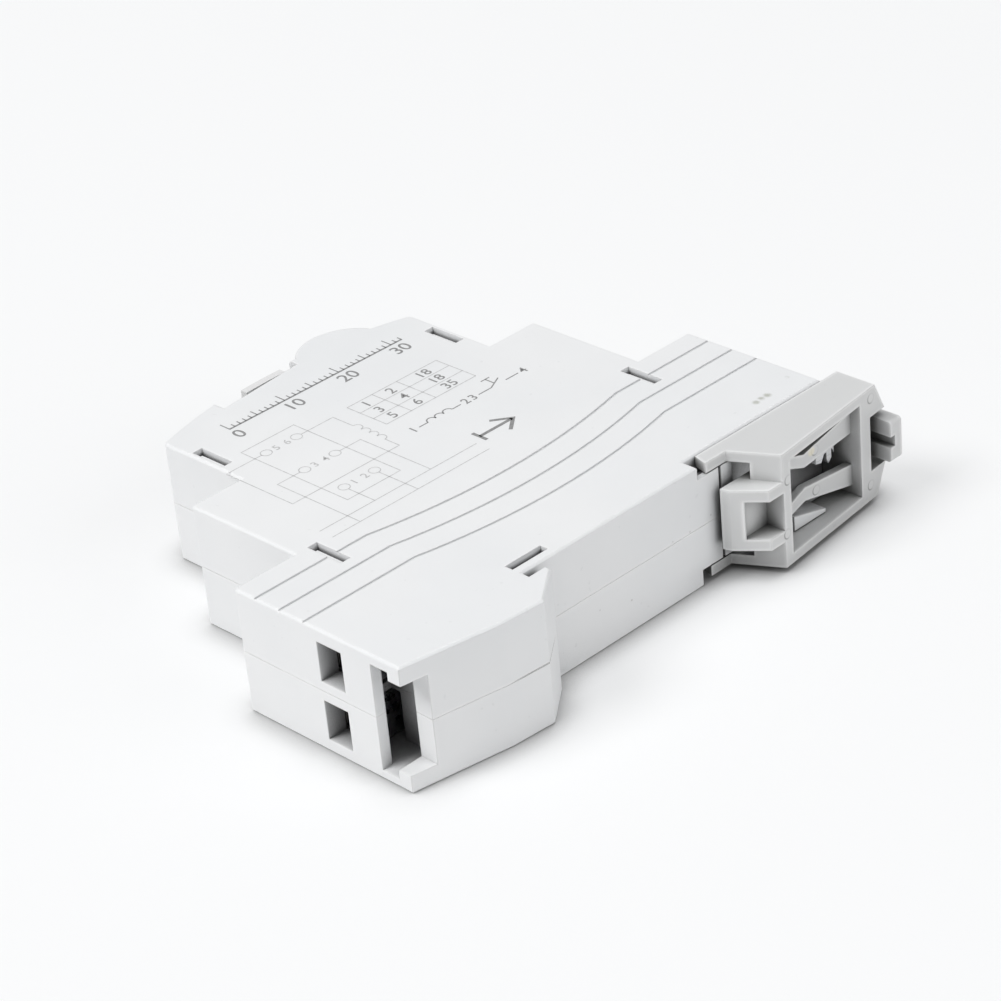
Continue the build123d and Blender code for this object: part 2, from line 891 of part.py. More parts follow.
with BuildPart() as clear_cover:
    with BuildSketch(across(cover_low)):
        with BuildLine():
            add(cover_line)
        make_face()
        with Locations((hinge_u, hinge_v)):
            Circle(knuckle_radius)
    extrude(amount=module_width - 2 * cover_low)
    with BuildSketch(across(lug_inset)):
        with BuildLine():
            add(lug_line)
        make_face()
    extrude(amount=module_width - 2 * lug_inset)
    with BuildSketch(across(wall - hinge_pin_reach)):
        with Locations((hinge_u, hinge_v)):
            Circle(hinge_pin_radius)
    extrude(amount=module_width - 2 * (wall - hinge_pin_reach))
keep(clear_cover.part, "clear_cover")

with BuildPart() as fascia:
    with BuildSketch(facing_back(fascia_depth)):
        patch(mouth_start + play, mouth_end - play, wall + play, module_width - wall - play)
        patch(window_start, window_end, window_side, module_width - window_side, mode=Mode.SUBTRACT)
    extrude(amount=-fascia_thickness)
keep(fascia.part, "fascia")

with BuildPart() as display_window:
    with BuildSketch(facing_back(fascia_depth)):
        patch(
            window_start + running_play,
            window_end - running_play,
            window_side + running_play,
            module_width - window_side - running_play,
        )
    extrude(amount=-fascia_thickness)
keep(display_window.part, "display_window")

with BuildPart() as display:
    with BuildSketch(facing_back(display_board_front)):
        patch(
            window_start - display_rim,
            window_end + display_rim,
            window_side - display_rim,
            module_width - window_side + display_rim,
        )
    extrude(amount=display_board_front - fascia_depth)
keep(display.part, "display")

header_u = header_spot_share * board_half_span
header_spots = [
    (header_u + (pin - (header_pins - 1) / 2) * header_pitch, board_high_face + header_pin_height)
    for pin in range(header_pins)
]

with BuildPart() as display_board:
    with BuildSketch(facing_back(display_board_depth)):
        board_reach = half_nose - wall + board_slot - play
        patch(-board_reach, board_reach, display_board_inset, module_width - display_board_inset)
        with Locations(*header_spots):
            Circle(header_pin_hole, mode=Mode.SUBTRACT)
    extrude(amount=-display_board_thickness)
keep(display_board.part, "display_board")

with BuildPart() as board_header:
    header_top = board_top - header_drop
    header_length = header_pins * header_pitch
    with BuildSketch(across(board_high_face)):
        patch(
            header_u - header_length / 2,
            header_u + header_length / 2,
            header_top - header_depth,
            header_top,
        )
    extrude(amount=header_height)
    with BuildSketch(facing_back(header_top)):
        with Locations(*header_spots):
            Rectangle(header_pin, header_pin)
    extrude(amount=header_top - display_board_front - header_pin_tail)
keep(board_header.part, "board_header")

with BuildPart() as push_button:
    with BuildSketch(facing_back(flange_depth)):
        with Locations((button_u, seam)):
            Circle(button_flange_radius)
    extrude(amount=-button_flange)
    with BuildSketch(facing_back(front_cavity_depth)):
        with Locations((button_u, seam)):
            Circle(button_radius)
    extrude(amount=front_cavity_depth - nose_arc(button_u) - button_proud)
    crown = push_button.faces().filter_by(Axis.Y).sort_by(Axis.Y)[-1]
    fillet(crown.edges(), button_crown_radius)
    with BuildSketch(facing_back(switch_top + plunger_proud)):
        with Locations((button_u, seam)):
            Circle(button_stem_radius)
    extrude(amount=switch_top + plunger_proud - front_cavity_depth)
keep(push_button.part, "push_button")

with BuildPart() as switch_plunger:
    with BuildSketch(facing_back(switch_top - plunger_sunk)):
        with Locations((button_u, seam)):
            Circle(plunger_radius)
    extrude(amount=-(plunger_sunk + plunger_proud))
keep(switch_plunger.part, "switch_plunger")

with BuildPart() as push_switch:
    with BuildSketch(facing_back(display_board_front)):
        with Locations((button_u, seam)):
            Rectangle(switch_size, switch_size)
    extrude(amount=-switch_height)
    with BuildSketch(facing_back(switch_top - plunger_bore)):
        with Locations((button_u, seam)):
            Circle(plunger_radius + running_play)
    extrude(amount=-plunger_bore, mode=Mode.SUBTRACT)
keep(push_switch.part, "push_switch")

with BuildPart() as status_lamp:
    with BuildSketch(facing_back(display_board_front)):
        with Locations((lamp_u, seam)):
            Rectangle(lamp_length, lamp_width)
    extrude(amount=-lamp_height)
keep(status_lamp.part, "status_lamp")

with BuildPart() as light_pipe:
    pipe_start = display_board_front + lamp_height + play
    with BuildSketch(facing_back(pipe_start)):
        with Locations((lamp_u, seam)):
            Circle(light_pipe_radius)
    extrude(amount=pipe_start - nose_arc(lamp_u) - light_pipe_proud)
    with BuildSketch(facing_back(flange_depth)):
        with Locations((lamp_u, seam)):
            Circle(light_pipe_flange_radius)
    extrude(amount=-button_flange)
keep(light_pipe.part, "light_pipe")

# Outline of the main board: the cavity drawn in by its play, kept out of the snap tongues
with BuildSketch() as main_board_outline:
    add(cavity_outline.sketch)
    offset(amount=-board_play, kind=Kind.INTERSECTION, mode=Mode.REPLACE)
    patch(-board_half_span, board_half_span, board_bottom, board_top, mode=Mode.INTERSECT)
    for u, v, length, breadth in snap_slots():
        with Locations((u, v)):
            Rectangle(length + 2 * play, breadth + 2 * play, mode=Mode.SUBTRACT)
    with Locations(*[board_spot(share) for share in post_spot_shares]):
        Circle(post_pin_radius + post_pin_play, mode=Mode.SUBTRACT)

with BuildPart() as main_board:
    with BuildSketch(across(board_low_face)):
        add(main_board_outline.sketch)
    extrude(amount=board_thickness)
keep(main_board.part, "main_board")

with BuildPart() as radio_board:
    radio_u, radio_v = board_spot(radio_spot_share)
    with BuildSketch(across(board_high_face)):
        with Locations((radio_u, radio_v)):
            Rectangle(radio_width, radio_length)
    extrude(amount=radio_thickness)
keep(radio_board.part, "radio_board")

with BuildPart() as radio_shield:
    shield_v = radio_v - (radio_length - shield_length) / 2 + shield_margin
    with BuildSketch(across(board_high_face + radio_thickness)):
        with Locations((radio_u, shield_v)):
            Rectangle(shield_width, shield_length)
    extrude(amount=shield_height)
    fillet(radio_shield.edges().filter_by(Axis.Z), shield_radius)
keep(radio_shield.part, "radio_shield")


def chip(spot_share, size, lead_count, lead_pitch):
    """Packaged chip on the main board's upper face, with a row of leads on either side."""
    length, breadth, height = size
    with BuildPart() as package:
        with BuildSketch(across(board_high_face + chip_stand)):
            with Locations(board_spot(spot_share)):
                Rectangle(length, breadth)
        extrude(amount=height)
        with BuildSketch(across(board_high_face)):
            with Locations(board_spot(spot_share)):
                with GridLocations(length + lead_reach, lead_pitch, 2, lead_count):
                    Rectangle(lead_reach, lead_width)
        extrude(amount=lead_height)
    return package.part


for name, spot_share, size, lead_count, lead_pitch in (
    ("metering_chip", metering_spot_share, metering_chip_size, metering_lead_count, metering_lead_pitch),
    ("power_chip", power_spot_share, power_chip_size, power_lead_count, power_lead_pitch),
    ("bridge_rectifier", rectifier_spot_share, rectifier_size, rectifier_lead_count, rectifier_lead_pitch),
):
    keep(chip(spot_share, size, lead_count, lead_pitch), name)

with BuildPart() as buffer_capacitors:
    for share in capacitor_spot_shares:
        spot_u, spot_v = board_spot(share)
        start = spot_u - capacitor_length / 2
        axis_height = board_high_face + capacitor_radius
        with BuildSketch(facing_end(start)):
            with Locations((spot_v, axis_height)):
                Circle(capacitor_radius)
        extrude(amount=capacitor_length)
        with BuildSketch(facing_end(start + capacitor_groove_place)):
            with Locations((spot_v, axis_height)):
                Circle(capacitor_radius + overrun)
                Circle(capacitor_radius - capacitor_groove, mode=Mode.SUBTRACT)
        extrude(amount=capacitor_groove_width, mode=Mode.SUBTRACT)
keep(buffer_capacitors.part, "buffer_capacitors")

with BuildPart() as transformer_core:
    core_u, core_v = board_spot(core_spot_share)
    with BuildSketch(facing_back(core_v - core_breadth / 2)):
        patch(
            core_u - core_length / 2,
            core_u + core_length / 2,
            board_high_face,
            board_high_face + core_height,
        )
        patch(
            core_u - core_length / 2 + core_leg,
            core_u + core_length / 2 - core_leg,
            board_high_face + core_leg,
            board_high_face + core_height - core_leg,
            mode=Mode.SUBTRACT,
        )
    extrude(amount=-core_breadth)
    with BuildSketch(across(board_high_face + core_leg)):
        with Locations((core_u, core_v)):
            Circle(core_post_radius)
    extrude(amount=core_height - 2 * core_leg)
keep(transformer_core.part, "transformer_core")

with BuildPart() as transformer_winding:
    with BuildSketch(across(board_high_face + core_leg)):
        with Locations((core_u, core_v)):
            Circle(winding_radius)
            Circle(core_post_radius + winding_play, mode=Mode.SUBTRACT)
    extrude(amount=core_height - 2 * core_leg)
keep(transformer_winding.part, "transformer_winding")

with BuildPart() as safety_capacitor:
    with BuildSketch(across(board_low_face)):
        with Locations(board_spot(safety_spot_share)):
            RectangleRounded(safety_length, safety_breadth, safety_radius)
    extrude(amount=-safety_height)
keep(safety_capacitor.part, "safety_capacitor")

with BuildPart() as varistor:
    with BuildSketch(across(board_low_face)):
        with Locations(board_spot(varistor_spot_share)):
            Circle(varistor_radius)
    extrude(amount=-varistor_thickness)
    fillet(varistor.faces().sort_by(Axis.Z)[0].edges(), varistor_edge)
keep(varistor.part, "varistor")

with BuildPart() as fuse_resistor:
    spot_u, spot_v = board_spot(fuse_spot_share)
    axis_height = board_low_face - fuse_radius
    with BuildSketch(facing_end(spot_u - fuse_length / 2)):
        with Locations((spot_v, axis_height)):
            Circle(fuse_neck_radius)
    extrude(amount=fuse_length)
    for start in (spot_u - fuse_length / 2, spot_u + fuse_length / 2 - fuse_cap):
        with BuildSketch(facing_end(start)):
            with Locations((spot_v, axis_height)):
                Circle(fuse_radius)
        extrude(amount=fuse_cap)
keep(fuse_resistor.part, "fuse_resistor")

for name, u, tower_front, width, end in terminals():
    bar_base = bar_depth(tower_front)
    ledge = ledge_depth(tower_front)
    board_face, toward_board = (board_low_face, 1) if width < seam else (board_high_face, -1)

    # Contact bar from the clamp to the main board
    with BuildPart() as contact_bar:
        tail = u - end * (cage_length / 2 + bar_tail)
        far_edge = width - toward_board * bar_width / 2
        with BuildSketch(facing_back(bar_base)):
            patch(
                *sorted((u + end * bar_reach, tail)),
                *sorted((far_edge, width + toward_board * bar_width / 2)),
            )
            patch(*sorted((tail, tail + end * bar_foot)), *sorted((far_edge, board_face)))
        extrude(amount=-bar_thickness)
    keep(contact_bar.part, f"{name}_bar")

    # Cage that rises with its screw and presses the wire against the bar
    cage_base = window_depth(tower_front) - cage_floor
    cage_front = bar_base + bar_thickness + bar_play + cage_plate
    half_inner = cage_inner_width / 2
    with BuildPart() as cage:
        with BuildSketch(facing_end(u - cage_length / 2)):
            patch(cage_base, cage_front, width - half_inner - cage_skin, width + half_inner + cage_skin)
            patch(
                cage_base + cage_floor,
                cage_front - cage_plate,
                width - half_inner,
                width + half_inner,
                mode=Mode.SUBTRACT,
            )
        extrude(amount=cage_length)
        with BuildSketch(facing_back(cage_front - cage_plate)):
            with Locations((u, width)):
                Circle(screw_radius + thread_play)
        extrude(amount=-cage_plate, mode=Mode.SUBTRACT)
    keep(cage.part, f"{name}_cage")

    # Captive screw, its head on the tower's ledge
    with BuildPart() as screw:
        head_base = ledge + thread_play
        with BuildSketch(facing_back(head_base - screw_shank)):
            with Locations((u, width)):
                Circle(screw_radius)
        extrude(amount=-screw_shank)
        with BuildSketch(facing_back(head_base)):
            with Locations((u, width)):
                Circle(screw_head_radius)
        extrude(amount=-screw_head)
        with BuildSketch(facing_back(head_base + screw_head - screw_slot_depth)):
            with Locations((u, width)):
                Rectangle(2 * screw_head_radius + overrun, screw_slot_width)
        extrude(amount=-(screw_slot_depth + overrun), mode=Mode.SUBTRACT)
    keep(screw.part, f"{name}_screw")
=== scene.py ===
"""Looks of a one-module energy monitor that lies on its side: finishes, print, marks and studio."""

import json
from math import pi

import bpy
import numpy as np
from mathutils import Matrix, Vector


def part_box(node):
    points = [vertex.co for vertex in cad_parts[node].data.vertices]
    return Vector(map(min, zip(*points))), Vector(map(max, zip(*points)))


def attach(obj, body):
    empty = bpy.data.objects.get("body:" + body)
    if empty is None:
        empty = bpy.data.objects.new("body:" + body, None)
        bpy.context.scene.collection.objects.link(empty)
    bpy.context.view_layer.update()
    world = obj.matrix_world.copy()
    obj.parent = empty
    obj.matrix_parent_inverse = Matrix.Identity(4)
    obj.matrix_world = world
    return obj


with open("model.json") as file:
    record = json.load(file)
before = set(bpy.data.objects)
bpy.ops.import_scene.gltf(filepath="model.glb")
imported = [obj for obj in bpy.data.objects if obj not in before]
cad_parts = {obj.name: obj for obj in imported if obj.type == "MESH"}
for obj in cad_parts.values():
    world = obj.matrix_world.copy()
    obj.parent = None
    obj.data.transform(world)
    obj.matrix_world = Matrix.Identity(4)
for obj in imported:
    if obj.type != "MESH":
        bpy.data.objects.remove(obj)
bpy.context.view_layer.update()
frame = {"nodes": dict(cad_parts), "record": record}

MM = 0.001

# Places on the housing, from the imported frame. Rail coordinates are millimetres from the middle of
# the rail's seat: height along the housing, depth towards the nose, width up from the floor.
shell_low, shell_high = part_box("upper_shell")
module_width = shell_high[2]
side_face = module_width / MM
seam_height = module_width / 2
foot_depth = 6.6 * MM
rail_x = (shell_low[0] + shell_high[0]) / 2
rail_y = shell_low[1] + foot_depth

# Rings that ejector pins left on the clip, and how far the painted shade on one side of each ring
# lies off its middle
pin_places = (
    (44.2, -4.3, 16.2),
    (43.7, -4.35, 3.2),
    (24.5, -6.45, 13.6),
    (23.9, -6.45, 5.8),
    (34.1, -2.9, 12.45),
    (34.1, -2.9, 6.4),
)
pin_radius = 0.7 * MM
pin_shade_shift = (-0.5, -0.2)

# Mark of the sprue on a spring arm of the clip, and where the seam gapes at the foot's heel,
# darkened there by painted shade
sprue_place = (33.4, -2.9, 12.6)
gap_place = (-20.6, -6.6, 9.0)

# Rubbed spots on the upper side face: height, depth, reach in millimetres and strength
rub_places = (
    (32.0, 5.15, 0.75, 0.75),
    (33.2, 5.3, 0.7, 0.75),
    (34.4, 5.25, 0.8, 0.8),
    (39.8, 6.4, 0.5, 0.3),
)

# Specks on the rail's seat: height, width and reach in millimetres
speck_places = (
    (12.4, 9.3, 0.22),
    (9.1, 9.4, 0.16),
    (0.9, 4.7, 0.2),
    (-4.9, 6.1, 0.14),
    (16.5, 9.9, 0.18),
)

# Camera, fitted to the edges of the housing in the photograph
camera_place = (-241.124, -241.449, 216.992)
camera_right = (0.70116955, -0.7079142, -0.08496319)
camera_down = (-0.41012508, -0.30297299, -0.86023531)
camera_ahead = (0.58323124, 0.63801634, -0.50276881)
focal_pixels = 3152.8
centre_pixels = (500.0, 520.0)
picture_pixels = 1001
sensor_width = 36.0

# Rays that each look at a rounded edge, or at how open a place is, takes
edge_samples = 6
open_samples = 8


def at(u, v, w):
    """Point in the scene, in metres, from rail coordinates in millimetres."""
    return Vector((rail_x + u * MM, rail_y + v * MM, w * MM))


class Signal:
    """One output of a material's node; Python's operators on it add Math nodes."""

    def __init__(self, finish, socket):
        self.finish = finish
        self.socket = socket

    def maths(self, operation, *values):
        """Adds a Math node over the given values or signals."""
        return self.finish.node(
            "ShaderNodeMath", {"operation": operation}, dict(enumerate(values))
        )

    def __sub__(self, other):
        return self.maths("SUBTRACT", self, other)

    def __rsub__(self, other):
        return self.maths("SUBTRACT", other, self)

    def __mul__(self, other):
        return self.maths("MULTIPLY", self, other)

    def __abs__(self):
        return self.maths("ABSOLUTE", self)

    def sine(self):
        """Sine of the signal, in radians."""
        return self.maths("SINE", self)

    def ramp(self, start, end, low=0.0, high=1.0):
        """Smooth step from low at start to high at end."""
        return self.finish.node(
            "ShaderNodeMapRange",
            {"interpolation_type": "SMOOTHSTEP"},
            {"Value": self, "From Min": start, "From Max": end, "To Min": low, "To Max": high},
        )


class Finish:
    """A material built around one Principled shader."""

    def __init__(self, name, **constants):
        self.material = bpy.data.materials.new(name)
        self.material.use_nodes = True
        self.tree = self.material.node_tree
        self.tree.nodes.clear()
        self.shader = self.tree.nodes.new("ShaderNodeBsdfPrincipled")
        self.output = self.tree.nodes.new("ShaderNodeOutputMaterial")
        self.cover(Signal(self, self.shader.outputs[0]))
        for constant, value in constants.items():
            self.feed(constant.replace("_", " ").title().replace("Ior", "IOR"), value)
        self.place = self.node("ShaderNodeTexCoord", {}, {}, output="Object")

    def node(self, kind, settings, values, output=0):
        """Adds a node: its settings first, then the value or link of each socket."""
        node = self.tree.nodes.new(kind)
        for setting, value in settings.items():
            setattr(node, setting, value)
        for socket, value in values.items():
            if isinstance(value, Signal):
                self.tree.links.new(value.socket, node.inputs[socket])
            else:
                node.inputs[socket].default_value = value
        return Signal(self, node.outputs[output])

    def feed(self, name, value):
        """Sets or links one socket of the Principled shader."""
        if isinstance(value, Signal):
            self.tree.links.new(value.socket, self.shader.inputs[name])
        else:
            self.shader.inputs[name].default_value = value

    def cover(self, shader):
        """Makes a shader the material's surface."""
        self.tree.links.new(shader.socket, self.output.inputs["Surface"])

    def paint(self, colour):
        """Sets the base colour."""
        self.colour = colour
        self.feed("Base Color", colour)

    def stain(self, factor, colour):
        """Lays another colour over the base colour."""
        self.paint(self.mix(factor, self.colour, colour))

    def mix(self, factor, first, second):
        """Colour between first and second."""
        return self.node(
            "ShaderNodeMix", {"data_type": "RGBA"}, {0: factor, 6: first, 7: second}, output=2
        )

    def vector(self, operation, first, second):
        """Number that a Vector Math node makes of two vectors."""
        return self.node(
            "ShaderNodeVectorMath", {"operation": operation}, {0: first, 1: second}, output="Value"
        )

    def distance(self, point):
        """Distance in metres from a point in the object's coordinates."""
        return self.vector("DISTANCE", self.place, point)

    def axis(self, index):
        """One of the three object coordinates, in metres."""
        return self.node("ShaderNodeSeparateXYZ", {}, {0: self.place}, output="XYZ"[index])

    def noise(self, scale, detail=2.0, roughness=0.5, stretch=None):
        """Noise over the object, scale in turns a metre, drawn out along an axis by stretch."""
        place = self.place
        if stretch:
            place = self.node("ShaderNodeMapping", {}, {"Vector": place, "Scale": stretch})
        return self.node(
            "ShaderNodeTexNoise",
            {},
            {"Vector": place, "Scale": scale, "Detail": detail, "Roughness": roughness},
        )

    def rounded(self, radius):
        """Normal over edges rounded by the given radius."""
        return self.node("ShaderNodeBevel", {"samples": edge_samples}, {"Radius": radius})

    def relief(self, height, distance, edge=0.0):
        """Bump of the given height, over edges rounded by the given radius."""
        values = {"Height": height, "Distance": distance}
        if edge:
            values["Normal"] = self.rounded(edge)
        self.feed("Normal", self.node("ShaderNodeBump", {}, values))

    def open_share(self, reach):
        """Share of directions from the surface in which nothing lies within reach."""
        return self.node(
            "ShaderNodeAmbientOcclusion",
            {"samples": open_samples},
            {"Distance": reach},
            output="AO",
        )

    def shade(self, reach, strength, colour, share=1.0, clear=0.55):
        """Paints shade into the base colour in the depth of openings and gaps, where the open share
        is less than clear.
        """
        self.stain(self.open_share(reach).ramp(0.1, clear, strength, 0.0) * share, colour)

    def wear(self, radius, strength, colour):
        """Paints highlights on outer edges: lightens the base colour where the rounded edge's normal
        leaves the face's own normal.
        """
        plain = self.node("ShaderNodeNewGeometry", {}, {}, output="True Normal")
        bend = self.vector("DOT_PRODUCT", self.rounded(radius), plain)
        outer = self.open_share(radius).ramp(0.55, 0.8)
        self.stain(bend.ramp(0.8, 0.99, strength, 0.0) * outer, colour)


def grey(level, warm=0.0):
    """Nearly neutral colour of the given level."""
    return (level * (1 + warm), level, level * (1 - warm), 1.0)


def moulded_plastic(name, colour, dusty, roughness=0.46):
    """Matt moulded plastic: spark-eroded grain, faint clouds, rubbed patches and a little dust."""
    finish = Finish(name, roughness=roughness, ior=1.46)
    clouds = finish.noise(38.0, detail=3.0)
    handled = finish.noise(160.0, detail=4.0, roughness=0.6)
    finish.paint(finish.mix(clouds.ramp(0.35, 0.7), colour, dusty))
    specks = finish.noise(900.0, detail=1.0).ramp(0.74, 0.8, 0.0, 0.25)
    finish.stain(specks, tuple(0.8 * c for c in dusty[:3]) + (1.0,))
    finish.feed("Roughness", handled.ramp(0.3, 0.75, roughness - 0.06, roughness + 0.1))
    finish.relief(finish.noise(9000.0, roughness=0.55), 0.012 * MM, 0.3 * MM)
    return finish


def shell_plastic():
    """White plastic of the two shells: a fine dark line where they meet, with painted shade where it
    gapes at the foot's heel, dull rubs near the clip on the upper side face, small specks on the
    rail's seat, painted highlights on the outer edges, and painted shade in the depth of the
    openings but not in the side faces' grooves."""
    finish = moulded_plastic(
        "shell_plastic", (0.83, 0.835, 0.84, 1.0), (0.80, 0.81, 0.82, 1.0)
    )
    from_seam = abs(finish.axis(2) - seam_height)
    meeting = from_seam.ramp(0.015 * MM, 0.06 * MM, 1.0, 0.0)
    finish.stain(meeting * finish.noise(300.0).ramp(0.3, 0.65, 0.15, 0.6), grey(0.35))
    # Painted shade of the seam where it gapes at the foot's heel
    gap_shade = from_seam.ramp(0.09 * MM, 0.17 * MM, 1.0, 0.0)
    heel = finish.distance(at(*gap_place)).ramp(3.5 * MM, 7.0 * MM, 0.9, 0.0)
    finish.stain(gap_shade * heel, grey(0.10))
    patches = finish.noise(1500.0, detail=3.0).ramp(0.3, 0.5)
    for u, v, reach, strength in rub_places:
        near = finish.distance(at(u, v, side_face))
        rub = near.ramp(0.2 * reach * MM, reach * MM, strength, 0.0)
        finish.stain(rub * patches, (0.42, 0.43, 0.37, 1.0))
    for u, w, reach in speck_places:
        near = finish.distance(at(u, 0.0, w))
        finish.stain(near.ramp(0.4 * reach * MM, reach * MM, 0.4, 0.0), grey(0.3, 0.05))
    # Painted highlights on the outer edges
    finish.wear(0.8 * MM, 0.7, grey(0.94))
    # Painted shade in the depth of the openings, kept out of the side faces' grooves
    below_side = (seam_height - from_seam).ramp(0.25 * MM, 1.0 * MM)
    finish.shade(9.0 * MM, 0.92, (0.06, 0.057, 0.06, 1.0), below_side)
    return finish


def clip_plastic():
    """Light grey plastic of the rail clip: rings that its ejector pins left, with painted shade on
    one side, the yellowed mark of the sprue on a spring arm, painted highlights on outer edges and
    painted shade in its depth."""
    finish = moulded_plastic(
        "clip_plastic", (0.675, 0.68, 0.68, 1.0), (0.65, 0.655, 0.655, 1.0), roughness=0.42
    )
    for u, v, w in pin_places:
        gap = finish.distance(at(u, v, w))
        # Each ring is a real mark, darkened more on one side by painted shade
        shade_side = finish.distance(at(u + pin_shade_shift[0], v, w + pin_shade_shift[1]))
        ring = abs(gap - pin_radius).ramp(0.03 * MM, 0.16 * MM)
        finish.stain((1 - ring) * shade_side.ramp(0.3 * MM, 1.2 * MM, 0.75, 0.12), grey(0.22))
        finish.stain(gap.ramp(0.5 * MM, 0.7 * MM, 0.15, 0.0), grey(0.8))
    sprue = finish.distance(at(*sprue_place)).ramp(0.4 * MM, 0.9 * MM, 0.8, 0.0)
    finish.stain(sprue, (0.80, 0.76, 0.62, 1.0))
    # Painted highlights on the outer edges
    finish.wear(1.0 * MM, 0.85, grey(0.90))
    # Painted shade in the depth of the clip
    finish.shade(8.0 * MM, 0.92, (0.05, 0.05, 0.045, 1.0), clear=0.72)
    return finish


def clear_plastic():
    """Clear plastic of the cover, lens and light pipe, spark-eroded to a milky grain on the cover's
    side lugs."""
    finish = Finish("clear_plastic", ior=1.49, transmission_weight=0.95)
    clouds = finish.noise(90.0).ramp(0.3, 0.7)
    finish.paint(finish.mix(clouds, (0.90, 0.91, 0.92, 1.0), (0.94, 0.95, 0.96, 1.0)))
    finish.feed("Roughness", finish.noise(700.0).ramp(0.3, 0.7, 0.04, 0.09))
    finish.relief(finish.noise(260.0, detail=1.0), 0.01 * MM, 0.12 * MM)
    grain = finish.noise(9000.0)
    milky = finish.node(
        "ShaderNodeBsdfPrincipled",
        {},
        {"Base Color": finish.mix(grain, grey(0.74), grey(0.78)), "Roughness": 0.5},
    )
    lug = abs(finish.axis(2) - seam_height).ramp(7.2 * MM, 7.4 * MM)
    plain = Signal(finish, finish.shader.outputs[0])
    finish.cover(finish.node("ShaderNodeMixShader", {}, {0: lug, 1: plain, 2: milky}))
    return finish


def display_glass():
    """Liquid crystal behind its glass: grey-green with faint clouds."""
    finish = Finish("display_glass", ior=1.52, coat_weight=1.0, coat_roughness=0.05)
    clouds = finish.noise(500.0).ramp(0.3, 0.7)
    finish.paint(finish.mix(clouds, (0.20, 0.24, 0.20, 1.0), (0.24, 0.28, 0.23, 1.0)))
    finish.feed("Roughness", finish.noise(2000.0).ramp(0.3, 0.7, 0.22, 0.3))
    return finish


def solder_mask():
    """Green circuit board with the print of its copper showing through."""
    finish = Finish("board", ior=1.5)
    tracks = finish.node(
        "ShaderNodeTexVoronoi",
        {"feature": "DISTANCE_TO_EDGE", "distance": "EUCLIDEAN"},
        {"Vector": finish.place, "Scale": 420.0},
        output="Distance",
    ).ramp(0.03, 0.06)
    finish.paint(finish.mix(tracks, (0.03, 0.19, 0.09, 1.0), (0.012, 0.10, 0.05, 1.0)))
    finish.feed("Roughness", finish.noise(1500.0).ramp(0.3, 0.7, 0.25, 0.4))
    finish.relief(tracks, -0.02 * MM)
    return finish


def chip_epoxy():
    """Black moulding compound of the chips, the header and the switch."""
    finish = Finish("chip", ior=1.5)
    grains = finish.noise(14000.0)
    pale = grains.ramp(0.35, 0.7)
    finish.paint(finish.mix(pale, (0.012, 0.012, 0.013, 1.0), (0.03, 0.03, 0.032, 1.0)))
    finish.feed("Roughness", grains.ramp(0.3, 0.7, 0.5, 0.7))
    finish.relief(grains, 0.01 * MM, 0.08 * MM)
    return finish


def plated_metal(name, colour, worn, roughness):
    """Metal with faint lines of its rolling or plating, and duller spots."""
    finish = Finish(name, metallic=1.0)
    lines = finish.noise(900.0, detail=3.0, stretch=(1.0, 14.0, 1.0))
    finish.paint(finish.mix(finish.noise(600.0).ramp(0.35, 0.7), colour, worn))
    finish.feed("Roughness", lines.ramp(0.3, 0.7, roughness - 0.08, roughness + 0.1))
    finish.relief(lines, 0.006 * MM, 0.08 * MM)
    return finish


def coated(name, colour, darker, roughness):
    """Dipped or sleeved coating of a soldered part, glossy and slightly uneven."""
    finish = Finish(name, ior=1.5, coat_weight=0.4, coat_roughness=0.12)
    finish.paint(finish.mix(finish.noise(500.0).ramp(0.3, 0.7), colour, darker))
    gloss = finish.noise(900.0)
    finish.feed("Roughness", gloss.ramp(0.3, 0.7, roughness - 0.05, roughness + 0.08))
    finish.relief(finish.noise(700.0), 0.03 * MM, 0.15 * MM)
    return finish


def wound_wire():
    """Enamelled copper in turns one above the other, each as high as the wire's pitch, with painted
    shade between the turns and painted highlights on their crowns.
    """
    wire_pitch = 0.2 * MM
    finish = Finish("copper_wire", metallic=1.0)
    turns = (finish.axis(2) * (2 * pi / wire_pitch)).sine()
    painted_crown_light = turns.ramp(-0.9, 0.3)
    finish.paint(finish.mix(painted_crown_light, (0.22, 0.07, 0.03, 1.0), (0.60, 0.24, 0.10, 1.0)))
    finish.feed("Roughness", finish.noise(900.0).ramp(0.3, 0.7, 0.25, 0.4))
    finish.relief(turns, 0.05 * MM)
    return finish


def lamp_resin():
    """Milky resin of the status lamp."""
    finish = Finish("lamp", ior=1.5, transmission_weight=0.5)
    clouds = finish.noise(900.0).ramp(0.3, 0.7)
    finish.paint(finish.mix(clouds, (0.75, 0.85, 0.6, 1.0), (0.8, 0.9, 0.7, 1.0)))
    finish.feed("Roughness", finish.noise(1500.0).ramp(0.3, 0.7, 0.2, 0.35))
    return finish


def printing_ink(name, level):
    """Grey pad-printing ink, a little paler where the pad pressed less."""
    finish = Finish(name, ior=1.45)
    pressed = finish.noise(1600.0).ramp(0.35, 0.7)
    finish.paint(finish.mix(pressed, grey(level), grey(level * 1.25)))
    finish.feed("Roughness", finish.noise(2500.0).ramp(0.3, 0.7, 0.5, 0.65))
    return finish


